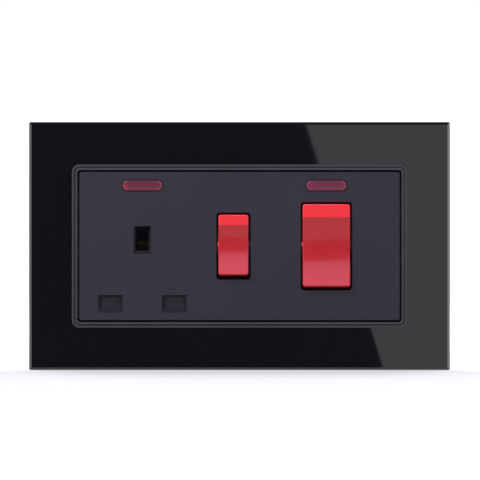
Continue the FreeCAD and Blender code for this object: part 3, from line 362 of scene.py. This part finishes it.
# %% Moulded skin
SHINE_SCALE = 240.0
skin, skin_in, skin_out = new_group(
    "moulded_skin",
    [("Grain", "NodeSocketFloat", 2600.0), ("Flow", "NodeSocketFloat", 45.0)],
    ["Tone", "Gloss", "Height"])
skin_place = add(skin, "ShaderNodeTexCoord").outputs["Object"]
flow = noise(skin, skin_place, skin_in.outputs["Flow"], detail=4.0)
skin.links.new(spread_out(skin, flow), skin_out.inputs["Tone"])
shine = noise(skin, skin_place, SHINE_SCALE, detail=3.0)
skin.links.new(spread_out(skin, shine), skin_out.inputs["Gloss"])
grain = noise(skin, skin_place, skin_in.outputs["Grain"], detail=2.0, roughness=0.6)
skin.links.new(grain, skin_out.inputs["Height"])
print("effect:", skin.name, "nodes:", len(skin.nodes))

# %% Rolled sheet
sheet, sheet_in, sheet_out = new_group(
    "rolled_sheet",
    [("Stretch", "NodeSocketVector", (60.0, 1400.0, 1400.0)), ("Spots", "NodeSocketFloat", 300.0)],
    ["Tone", "Gloss", "Height"])
sheet_place = add(sheet, "ShaderNodeTexCoord").outputs["Object"]
drawn = add(sheet, "ShaderNodeVectorMath", operation="MULTIPLY")
sheet.links.new(sheet_place, drawn.inputs[0])
sheet.links.new(sheet_in.outputs["Stretch"], drawn.inputs[1])
lines = noise(sheet, drawn.outputs[0], 1.0, detail=3.0, roughness=0.6)
spots = noise(sheet, sheet_place, sheet_in.outputs["Spots"], detail=4.0)
sheet.links.new(spread_out(sheet, spots, low=0.35, high=0.65), sheet_out.inputs["Tone"])
sheet.links.new(spread_out(sheet, lines), sheet_out.inputs["Gloss"])
sheet.links.new(lines, sheet_out.inputs["Height"])
print("effect:", sheet.name, "nodes:", len(sheet.nodes))

# %% Handling smudges
FILM_SCALE = 60.0
smudge, smudge_in, smudge_out = new_group(
    "handling_smudges",
    [("Size", "NodeSocketFloat", 28.0), ("Specks", "NodeSocketFloat", 900.0)],
    ["Tone", "Gloss", "Height"])
smudge_place = add(smudge, "ShaderNodeTexCoord").outputs["Object"]
cloud = noise(smudge, smudge_place, smudge_in.outputs["Size"], detail=5.0, roughness=0.6)
haze = spread_out(smudge, cloud, low=0.42, high=0.75)
dots = noise(smudge, smudge_place, smudge_in.outputs["Specks"], detail=1.0)
specks = spread_out(smudge, dots, low=0.66, high=0.74)
film = noise(smudge, smudge_place, FILM_SCALE, detail=1.0)
smudge.links.new(haze, smudge_out.inputs["Tone"])
smudge.links.new(math_node(smudge, "MAXIMUM", haze, specks), smudge_out.inputs["Gloss"])
smudge.links.new(film, smudge_out.inputs["Height"])
print("shared effects:", [g.name for g in bpy.data.node_groups])

# %% [markdown]
# ## Finishes
# Every finish is one Principled shader. A shared effect gives it a pattern for its colour, its roughness and
# its bump, and what is the same all over is set on the shader itself.

# %% Finish helper


def finish(name, group, dark, light, rough, bump, fixed=()):
    """A material: two tones, a roughness range and a bump depth in metres, all led by a shared effect."""
    material = bpy.data.materials.new(name)
    material.use_nodes = True
    tree = material.node_tree
    shader = tree.nodes["Principled BSDF"]
    effect = add(tree, "ShaderNodeGroup", node_tree=group)
    tones = add(tree, "ShaderNodeMix", data_type="RGBA")
    tones.inputs[6].default_value = (*dark, 1)
    tones.inputs[7].default_value = (*light, 1)
    tree.links.new(effect.outputs["Tone"], tones.inputs[0])
    tree.links.new(tones.outputs[2], shader.inputs["Base Color"])
    span = add(tree, "ShaderNodeMapRange")
    span.inputs["To Min"].default_value = rough[0]
    span.inputs["To Max"].default_value = rough[1]
    tree.links.new(effect.outputs["Gloss"], span.inputs["Value"])
    tree.links.new(span.outputs[0], shader.inputs["Roughness"])
    relief = add(tree, "ShaderNodeBump")
    relief.inputs["Strength"].default_value = 1.0
    relief.inputs["Distance"].default_value = bump
    tree.links.new(effect.outputs["Height"], relief.inputs["Height"])
    tree.links.new(relief.outputs[0], shader.inputs["Normal"])
    for label, value in fixed:
        shader.inputs[label].default_value = value
    return material


# %% Glass, mouldings and rockers
LENS_RED = (0.215, 0.041, 0.081)
LENS_PALE = (0.24, 0.047, 0.092)
LENS_GLOSS = (0.22, 0.3)

finishes = {
    "black_glass": finish("black glass", smudge, (0.0112, 0.0103, 0.0160), (0.0120, 0.0111, 0.0170),
                          (0.015, 0.03), 0.0000004, fixed=[("IOR", 1.52)]),
    "charcoal_plastic": finish("charcoal moulding", skin, (0.0434, 0.0404, 0.0547), (0.0490, 0.0460, 0.0610),
                               (0.46, 0.54), 0.000012, fixed=[("Specular IOR Level", 0.35)]),
    "red_plastic": finish("red rocker moulding", smudge, (0.595, 0.026, 0.035), (0.63, 0.029, 0.039),
                          (0.10, 0.16), 0.000002),
    "neon_red": finish("neon lens", smudge, LENS_RED, LENS_PALE, LENS_GLOSS, 0.000002),
    "shutter_plastic": finish("shutter moulding", skin, (0.021, 0.0200, 0.029), (0.024, 0.0235, 0.032),
                              (0.36, 0.46), 0.000006),
    "white_plastic": finish("slippery white moulding", skin, (0.72, 0.72, 0.70), (0.78, 0.78, 0.76),
                            (0.25, 0.35), 0.000004),
}
print("moulded and glass finishes:", sorted(finishes))

# %% Metals


def metal(name, dark, light, rough, bump):
    """A finish for bare or plated metal, with the lines of rolled sheet."""
    return finish(name, sheet, dark, light, rough, bump, fixed=[("Metallic", 1.0)])


finishes.update({
    "zinc_steel": metal("zinc plated sheet", (0.50, 0.51, 0.51), (0.66, 0.67, 0.66), (0.28, 0.42), 0.000004),
    "screw_steel": metal("passivated screw", (0.56, 0.52, 0.40), (0.68, 0.64, 0.52), (0.22, 0.36), 0.000003),
    "brass": metal("dulled brass", (0.30, 0.22, 0.10), (0.40, 0.30, 0.15), (0.30, 0.44), 0.000003),
    "copper": metal("stamped copper", (0.68, 0.34, 0.20), (0.82, 0.45, 0.29), (0.20, 0.34), 0.000003),
    "silver": metal("silver rivet", (0.74, 0.73, 0.70), (0.86, 0.85, 0.82), (0.18, 0.30), 0.000002),
    "spring_steel": metal("spring wire", (0.40, 0.40, 0.41), (0.56, 0.56, 0.56), (0.18, 0.30), 0.000002),
    "tinned_wire": metal("tinned wire", (0.66, 0.66, 0.65), (0.78, 0.78, 0.77), (0.18, 0.30), 0.000002),
})
print("finishes so far:", len(finishes))

# %% Lamp glass and resistor
finishes["lamp_glass"] = finish("lamp bulb", smudge, (0.86, 0.86, 0.86), (0.9, 0.9, 0.9), (0.02, 0.06),
                                0.0000005, fixed=[("Transmission Weight", 0.9), ("IOR", 1.5)])
finishes["resistor_body"] = finish("resistor lacquer", skin, (0.60, 0.46, 0.28), (0.66, 0.52, 0.33),
                                   (0.3, 0.4), 0.000004)
slots = {row["node"]: row["material_slot"] for row in frame["record"]["subparts"]}
missing = sorted(set(slots.values()) - set(finishes))
print("finishes:", len(finishes), "slots with none:", missing)

# %% [markdown]
# ## Smooth copies of the larger pieces and the screws
# A solid arrives as loose triangles, so its rounded edges look faceted. A copy is merged at its corners, its
# real edges are marked sharp by their angle, and the rest is shaded smooth. The copy stands for the node.

# %% Smooth copy helper
SHARP = math.radians(32)
SHARP_ROCKER = math.radians(16)
SAME_CORNER = 0.000002


def smooth_copy(node, name, sharp=SHARP):
    """A merged copy of a solid with sharp edges where its faces meet at an angle."""
    work = bmesh.new()
    work.from_mesh(nodes[node].data)
    bmesh.ops.remove_doubles(work, verts=work.verts, dist=SAME_CORNER)
    bmesh.ops.recalc_face_normals(work, faces=work.faces)
    for face in work.faces:
        face.smooth = True
    for edge_now in work.edges:
        edge_now.smooth = len(edge_now.link_faces) == 2 and edge_now.calc_face_angle() < sharp
    mesh = bpy.data.meshes.new(name)
    work.to_mesh(mesh)
    work.free()
    if "custom_normal" in mesh.attributes:
        mesh.attributes.remove(mesh.attributes["custom_normal"])
    mesh.materials.clear()
    mesh.materials.append(finishes[slots[node]])
    piece = bpy.data.objects.new(name, mesh)
    scene.collection.objects.link(piece)
    weights = piece.modifiers.new("even flats", "WEIGHTED_NORMAL")
    weights.keep_sharp = True
    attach(piece, nodes[node]["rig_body"])
    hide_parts(node)
    return piece


smooth_pieces = {}
for node, name in (("glass_frame", "polished_glass"), ("panel_carrier", "carrier_moulding"),
                   ("front_plate", "insert_face"), ("socket_rocker", "socket_rocker_cap"),
                   ("cooker_rocker", "cooker_rocker_cap"), ("socket_neon_lens", "socket_lens"),
                   ("cooker_neon_lens", "cooker_lens"), ("rear_housing", "housing_moulding"),
                   ("mounting_plate", "steel_plate"), ("shutter", "shutter_moulding"),
                   ("terminal_screws", "clamp_screws"), ("housing_screws", "back_screws")):
    smooth_pieces[name] = smooth_copy(node, name, SHARP_ROCKER if slots[node] == "red_plastic" else SHARP)
faces = sum(len(piece.data.polygons) for piece in smooth_pieces.values())
print("smooth pieces:", len(smooth_pieces), "faces:", faces)

# %% [markdown]
# ## What some of the lights reach
# A photographer keeps a light off a piece with black foil. Here the card reaches only the glass and its
# carrier, so that the rockers keep their dark stripe. The key reaches only the rockers, whose sloped tops it
# makes bright, and only they can shade it. The fill reaches the insert's face, the carrier, the lenses and
# the shutter.

# %% Flags
FRONT_PIECES = ("insert_face", "carrier_moulding", "socket_lens", "cooker_lens", "shutter_moulding")
for lamp, names in ((card, ("polished_glass", "carrier_moulding")),
                    (key, ("socket_rocker_cap", "cooker_rocker_cap")),
                    (fill, FRONT_PIECES)):
    reached = bpy.data.collections.new(lamp.name + " reaches")
    for name in names:
        reached.objects.link(smooth_pieces[name])
    lamp.light_linking.receiver_collection = reached
    if lamp is key:
        lamp.light_linking.blocker_collection = reached
    print(lamp.name, "reaches:", names)

# %% [markdown]
# ## Neon lenses
# Each unlit lens has light and shade painted into its colour: a painted shade round its edge, a paler body,
# a painted highlight on the inner edge at its round ends, painted light on its lower part, and a painted
# glint where its lamp shows through. A painted picture could show this. Here a group measures the distance
# from the middle line of the long round shape, so the pattern follows the lens's own sizes.

# %% Lens pattern
EDGE_SHADE_FADE = (0.00026, 0.00048)
END_HIGHLIGHT_FADE = (0.0006, 0.0010)
LOW_LIGHT_FADE = (-0.0012, -0.0002)
LAMP_GLINT_CORE = 0.0003


def ramp_down(tree, value, start, end):
    """1 below start, 0 above end; both may be numbers or outputs."""
    node = add(tree, "ShaderNodeMapRange", interpolation_type="SMOOTHSTEP")
    give(tree, start, node.inputs["From Min"])
    give(tree, end, node.inputs["From Max"])
    node.inputs["To Min"].default_value = 1.0
    node.inputs["To Max"].default_value = 0.0
    tree.links.new(value, node.inputs["Value"])
    return node.outputs[0]


shape, shape_in, shape_out = new_group(
    "lens_shape",
    [("Centre", "NodeSocketVector", (0.0, 0.0, 0.0)), ("Half Length", "NodeSocketFloat", 0.005),
     ("Radius", "NodeSocketFloat", 0.002), ("Lamp", "NodeSocketVector", (0.0, 0.0, 0.0)),
     ("Lamp Size", "NodeSocketFloat", 0.001)],
    ["Edge Shade", "End", "Lamp", "Low"])
shape_place = add(shape, "ShaderNodeTexCoord")
from_centre = add(shape, "ShaderNodeVectorMath", operation="SUBTRACT")
shape.links.new(shape_place.outputs["Object"], from_centre.inputs[0])
shape.links.new(shape_in.outputs["Centre"], from_centre.inputs[1])
axes = add(shape, "ShaderNodeSeparateXYZ")
shape.links.new(from_centre.outputs[0], axes.inputs[0])
across = math_node(shape, "ABSOLUTE", axes.outputs["X"])
along = math_node(shape, "SUBTRACT", across, shape_in.outputs["Half Length"])
past_end = math_node(shape, "MAXIMUM", along, 0.0)
past_squared = math_node(shape, "POWER", past_end, 2.0)
up_squared = math_node(shape, "MULTIPLY", axes.outputs["Z"], axes.outputs["Z"])
off_axis = math_node(shape, "SQRT", math_node(shape, "ADD", past_squared, up_squared))
depth = math_node(shape, "SUBTRACT", shape_in.outputs["Radius"], off_axis)
# Painted shade round the lens's edge
edge_shade = ramp_down(shape, depth, *EDGE_SHADE_FADE)
shape.links.new(edge_shade, shape_out.inputs["Edge Shade"])
# Painted highlight on the inner edge, kept to the round ends
inner = math_node(shape, "SUBTRACT", ramp_down(shape, depth, *END_HIGHLIGHT_FADE), edge_shade)
at_end = math_node(shape, "GREATER_THAN", along, 0.0)
shape.links.new(math_node(shape, "MULTIPLY", inner, at_end), shape_out.inputs["End"])
# Painted glint where the lamp shows through
to_lamp = add(shape, "ShaderNodeVectorMath", operation="DISTANCE")
shape.links.new(from_centre.outputs[0], to_lamp.inputs[0])
shape.links.new(shape_in.outputs["Lamp"], to_lamp.inputs[1])
shape.links.new(ramp_down(shape, to_lamp.outputs["Value"], LAMP_GLINT_CORE, shape_in.outputs["Lamp Size"]),
                shape_out.inputs["Lamp"])
# Painted light on the lower part
shape.links.new(ramp_down(shape, axes.outputs["Z"], *LOW_LIGHT_FADE), shape_out.inputs["Low"])
print("effect:", shape.name, "nodes:", len(shape.nodes))

# %% Lens finishes
LENS_FLANGE = 0.0008
# Tones of the painted shade at the edge, the painted highlight at the round ends and the painted light low
# down
LENS_EDGE_SHADE = (0.080, 0.005, 0.018)
LENS_END_HIGHLIGHT = (0.40, 0.110, 0.160)
LENS_LOW_LIGHT = (0.29, 0.055, 0.100)
# Where each lamp's painted glint shows, to the side and up from the lens's middle, how large, and in what
# colour
LAMP_GLINTS = {"socket_neon_lens": (-0.0056, -0.0004, 0.0010, (0.62, 0.024, 0.093)),
              "cooker_neon_lens": (-0.0054, 0.0, 0.0030, (0.34, 0.034, 0.11))}
for node, name in (("socket_neon_lens", "socket_lens"), ("cooker_neon_lens", "cooker_lens")):
    low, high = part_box(node)
    glint_x, glint_z, glint_size, glint_tone = LAMP_GLINTS[node]
    lens = finish(name.replace("_", " "), smudge, LENS_RED, LENS_PALE, LENS_GLOSS, 0.000002)
    tree = lens.node_tree
    shader = tree.nodes["Principled BSDF"]
    colour = shader.inputs["Base Color"].links[0].from_socket
    pattern = add(tree, "ShaderNodeGroup", node_tree=shape)
    radius = (high.z - low.z) / 2 - LENS_FLANGE
    pattern.inputs["Centre"].default_value = (low + high) / 2
    pattern.inputs["Half Length"].default_value = (high.x - low.x) / 2 - LENS_FLANGE - radius
    pattern.inputs["Radius"].default_value = radius
    pattern.inputs["Lamp"].default_value = (glint_x, (low.y - high.y) / 2, glint_z)
    pattern.inputs["Lamp Size"].default_value = glint_size
    # The painted light and shade are mixed over the lens's own tone
    for label, tone in (("Low", LENS_LOW_LIGHT), ("Lamp", glint_tone), ("End", LENS_END_HIGHLIGHT), ("Edge Shade", LENS_EDGE_SHADE)):
        mix = add(tree, "ShaderNodeMix", data_type="RGBA")
        tree.links.new(pattern.outputs[label], mix.inputs[0])
        tree.links.new(colour, mix.inputs[6])
        mix.inputs[7].default_value = (*tone, 1)
        colour = mix.outputs[2]
    tree.links.new(colour, shader.inputs["Base Color"])
    smooth_pieces[name].data.materials[0] = lens
    print(name, "half length in mm:", round(pattern.inputs["Half Length"].default_value * 1000, 2))

# %% [markdown]
# ## Carrier rim
# The rim inside the glass is two pale ridges with a dark groove between them. The ridges get a painted sheen,
# since the carrier is a paler copy of the charcoal moulding, and the groove's floor gets a painted shade. The
# groove's floor could have a material of its own, but its faces would have to be picked out. Here its depth
# behind the ridges finds it.

# %% Carrier finish
GROOVE_DEEP = 0.0005
GROOVE_SPAN = 0.00035
GROOVE_PAINTED_SHADE = (0.008, 0.008, 0.011)

# A paler copy of the charcoal moulding: a painted sheen on the rim's ridges
carrier = finish("carrier moulding", skin, (0.070, 0.068, 0.080), (0.076, 0.074, 0.088), (0.32, 0.36),
                 0.000002)
tree = carrier.node_tree
shader = tree.nodes["Principled BSDF"]
rim_place = add(tree, "ShaderNodeTexCoord")
rim_axes = add(tree, "ShaderNodeSeparateXYZ")
tree.links.new(rim_place.outputs["Object"], rim_axes.inputs[0])
behind = math_node(tree, "SUBTRACT", rim_axes.outputs["Y"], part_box("panel_carrier")[0].y + GROOVE_DEEP)
in_groove = ramp_down(tree, math_node(tree, "ABSOLUTE", behind), 0.0, GROOVE_SPAN)
# The groove's floor is painted near black, a painted shade
groove_shade_mix = add(tree, "ShaderNodeMix", data_type="RGBA")
tree.links.new(in_groove, groove_shade_mix.inputs[0])
tree.links.new(shader.inputs["Base Color"].links[0].from_socket, groove_shade_mix.inputs[6])
groove_shade_mix.inputs[7].default_value = (*GROOVE_PAINTED_SHADE, 1)
tree.links.new(groove_shade_mix.outputs[2], shader.inputs["Base Color"])
smooth_pieces["carrier_moulding"].data.materials[0] = carrier
print("carrier finish:", carrier.name)

# %% [markdown]
# ## Springs
# A spring repeats one turn of wire, so a short Geometry Nodes tree makes them all: a spiral curve swept by a
# round section. Its sizes are named inputs, set by each socket's identifier before the tree first runs.

# %% Spring tree
TURN_POINTS = 28
WIRE_POINTS = 10

coil_tree = bpy.data.node_groups.new("wire coil", "GeometryNodeTree")
COIL_SIZES = (("Turns", "NodeSocketFloat"), ("Radius", "NodeSocketFloat"), ("Wire", "NodeSocketFloat"),
              ("Length", "NodeSocketFloat"))
for label, kind in COIL_SIZES:
    coil_tree.interface.new_socket(label, in_out="INPUT", socket_type=kind)
coil_tree.interface.new_socket("Wire Finish", in_out="INPUT", socket_type="NodeSocketMaterial")
coil_tree.interface.new_socket("Geometry", in_out="OUTPUT", socket_type="NodeSocketGeometry")
sizes = coil_tree.nodes.new("NodeGroupInput")
result = coil_tree.nodes.new("NodeGroupOutput")
spiral = coil_tree.nodes.new("GeometryNodeCurveSpiral")
spiral.inputs["Resolution"].default_value = TURN_POINTS
section = coil_tree.nodes.new("GeometryNodeCurvePrimitiveCircle")
section.inputs["Resolution"].default_value = WIRE_POINTS
sweep = coil_tree.nodes.new("GeometryNodeCurveToMesh")
sweep.inputs["Fill Caps"].default_value = True
real = coil_tree.nodes.new("GeometryNodeRealizeInstances")
coat = coil_tree.nodes.new("GeometryNodeSetMaterial")
coil_links = coil_tree.links
coil_links.new(sizes.outputs["Turns"], spiral.inputs["Rotations"])
coil_links.new(sizes.outputs["Radius"], spiral.inputs["Start Radius"])
coil_links.new(sizes.outputs["Radius"], spiral.inputs["End Radius"])
coil_links.new(sizes.outputs["Length"], spiral.inputs["Height"])
coil_links.new(sizes.outputs["Wire"], section.inputs["Radius"])
coil_links.new(spiral.outputs["Curve"], sweep.inputs["Curve"])
coil_links.new(section.outputs["Curve"], sweep.inputs["Profile Curve"])
coil_links.new(sweep.outputs["Mesh"], real.inputs["Geometry"])
coil_links.new(real.outputs["Geometry"], coat.inputs["Geometry"])
coil_links.new(sizes.outputs["Wire Finish"], coat.inputs["Material"])
coil_links.new(coat.outputs["Geometry"], result.inputs["Geometry"])
print("spring sizes:", [label for label, kind in COIL_SIZES])


def plain_mesh(piece):
    """Turns a piece's live modifiers into its own plain mesh."""
    graph = bpy.context.evaluated_depsgraph_get()
    mesh = bpy.data.meshes.new_from_object(piece.evaluated_get(graph))
    piece.modifiers.clear()
    piece.data = mesh
    return piece


def coil(name, turns, radius, wire, length, places):
    """One piece with a spring at each of the given placement matrices; sizes in metres."""
    made = bpy.data.objects.new(name, bpy.data.meshes.new(name))
    scene.collection.objects.link(made)
    modifier = made.modifiers.new("coil", "NODES")
    modifier.node_group = coil_tree
    values = {"Turns": float(turns), "Radius": radius, "Wire": wire, "Length": length,
              "Wire Finish": finishes["spring_steel"]}
    for item in coil_tree.interface.items_tree:
        if item.in_out == "INPUT":
            modifier[item.identifier] = values[item.name]
    plain_mesh(made)
    whole = bmesh.new()
    for place in places:
        one = made.data.copy()
        one.transform(place)
        whole.from_mesh(one)
        bpy.data.meshes.remove(one)
    for face in whole.faces:
        face.smooth = True
    whole.to_mesh(made.data)
    whole.free()
    return made


# %% Springs in their places
SPRING_WIRE = 0.00025
SPRING_RADIUS = 0.0014
SPRING_TURNS = 6
SPRING_LENGTH = 0.007
SPRING_START = -0.003
POLE_OFFSET = 0.005
REST_TILT = math.radians(-5)
joints = {j["name"]: j for j in frame["joints"]}


def tube_place(joint, offset):
    """Where a plunger's spring starts: down the tube of a rocker that lies in its off position."""
    pivot = Vector(joints[joint]["pos_m"])
    tilt = Matrix.Translation(pivot) @ Matrix.Rotation(REST_TILT, 4, "X")
    start = Matrix.Translation((offset, SPRING_START + SPRING_WIRE, 0))
    return tilt @ start @ Matrix.Rotation(-math.pi / 2, 4, "X")


free_length = SPRING_LENGTH - 2 * SPRING_WIRE
small_spring = coil("socket_spring_wire", SPRING_TURNS, SPRING_RADIUS, SPRING_WIRE, free_length,
                    [tube_place("socket_switch", 0.0)])
large_springs = coil("cooker_spring_wire", SPRING_TURNS, SPRING_RADIUS, SPRING_WIRE, free_length,
                     [tube_place("cooker_switch", side * POLE_OFFSET) for side in (-1, 1)])
for piece, node in ((small_spring, "socket_plunger_spring"), (large_springs, "cooker_plunger_springs")):
    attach(piece, nodes[node]["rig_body"])
    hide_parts(node)
print("plunger springs:", len(small_spring.data.vertices), len(large_springs.data.vertices))

# %% Shutter spring
SHUTTER_WIRE = 0.00022
SHUTTER_TURNS = 5
low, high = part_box("shutter_spring")
shutter_radius = (high.x - low.x) / 2 - SHUTTER_WIRE
centre = (low + high) / 2
shutter_wire = coil("shutter_spring_wire", SHUTTER_TURNS, shutter_radius, SHUTTER_WIRE,
                    high.z - low.z - 2 * SHUTTER_WIRE,
                    [Matrix.Translation((centre.x, centre.y, low.z + SHUTTER_WIRE))])
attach(shutter_wire, "insert")
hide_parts("shutter_spring")
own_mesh(shutter_wire)
print("shutter spring length in mm:", round((high.z - low.z) * 1000, 2))

# %% [markdown]
# ## Finishes on the solids
# Every solid swaps the plain colour it came with for the finish of its slot.

# %% Finishes on the solids
for node, solid in nodes.items():
    solid.data.materials.clear()
    solid.data.materials.append(finishes[slots[node]])
print("solids with a finish:", len(nodes))
